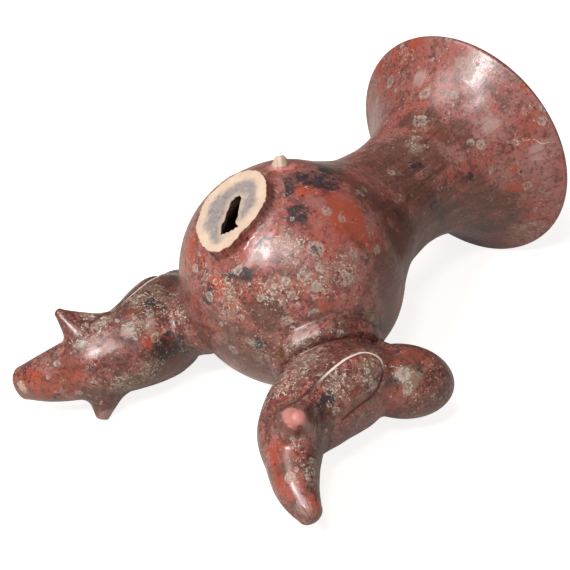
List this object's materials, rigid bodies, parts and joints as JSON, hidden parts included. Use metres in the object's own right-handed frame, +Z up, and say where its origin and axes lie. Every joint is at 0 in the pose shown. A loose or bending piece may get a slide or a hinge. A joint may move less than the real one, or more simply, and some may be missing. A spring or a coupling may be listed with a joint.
{
  "type": "bird-footed vessel",
  "caption": "Round clay jar with a flaring trumpet neck on hollow bird-shaped feet, lying on its side with a foot broken off.",
  "frame": {"origin": "middle of the bounding box at the level the vessel rests on", "axes": "+X along the vessel's axis towards the mouth, +Z up from the ground the vessel lies on"},
  "size_m": [0.3036, 0.236, 0.1494],
  "materials": {
    "slipped_clay": "burnished red slip over fired clay",
    "broken_clay": "bare broken clay"
  },
  "bodies": {
    "root": {"globe_bowl": "slipped_clay", "globe_shoulder": "slipped_clay", "neck": "slipped_clay", "flared_rim": "slipped_clay", "near_foot_trunk": "slipped_clay", "near_foot_tail": "slipped_clay", "near_foot_head": "slipped_clay", "near_foot_bill": "slipped_clay", "near_foot_nub_left": "slipped_clay", "near_foot_nub_right": "slipped_clay", "near_foot_collar": "slipped_clay", "far_foot_trunk": "slipped_clay", "far_foot_tail": "slipped_clay", "far_foot_head": "slipped_clay", "far_foot_bill": "slipped_clay", "far_foot_nub_left": "slipped_clay", "far_foot_nub_right": "slipped_clay", "far_foot_collar": "slipped_clay", "lost_foot_stump": "broken_clay", "lost_bill_scar": "broken_clay"}
  },
  "joints": []
}
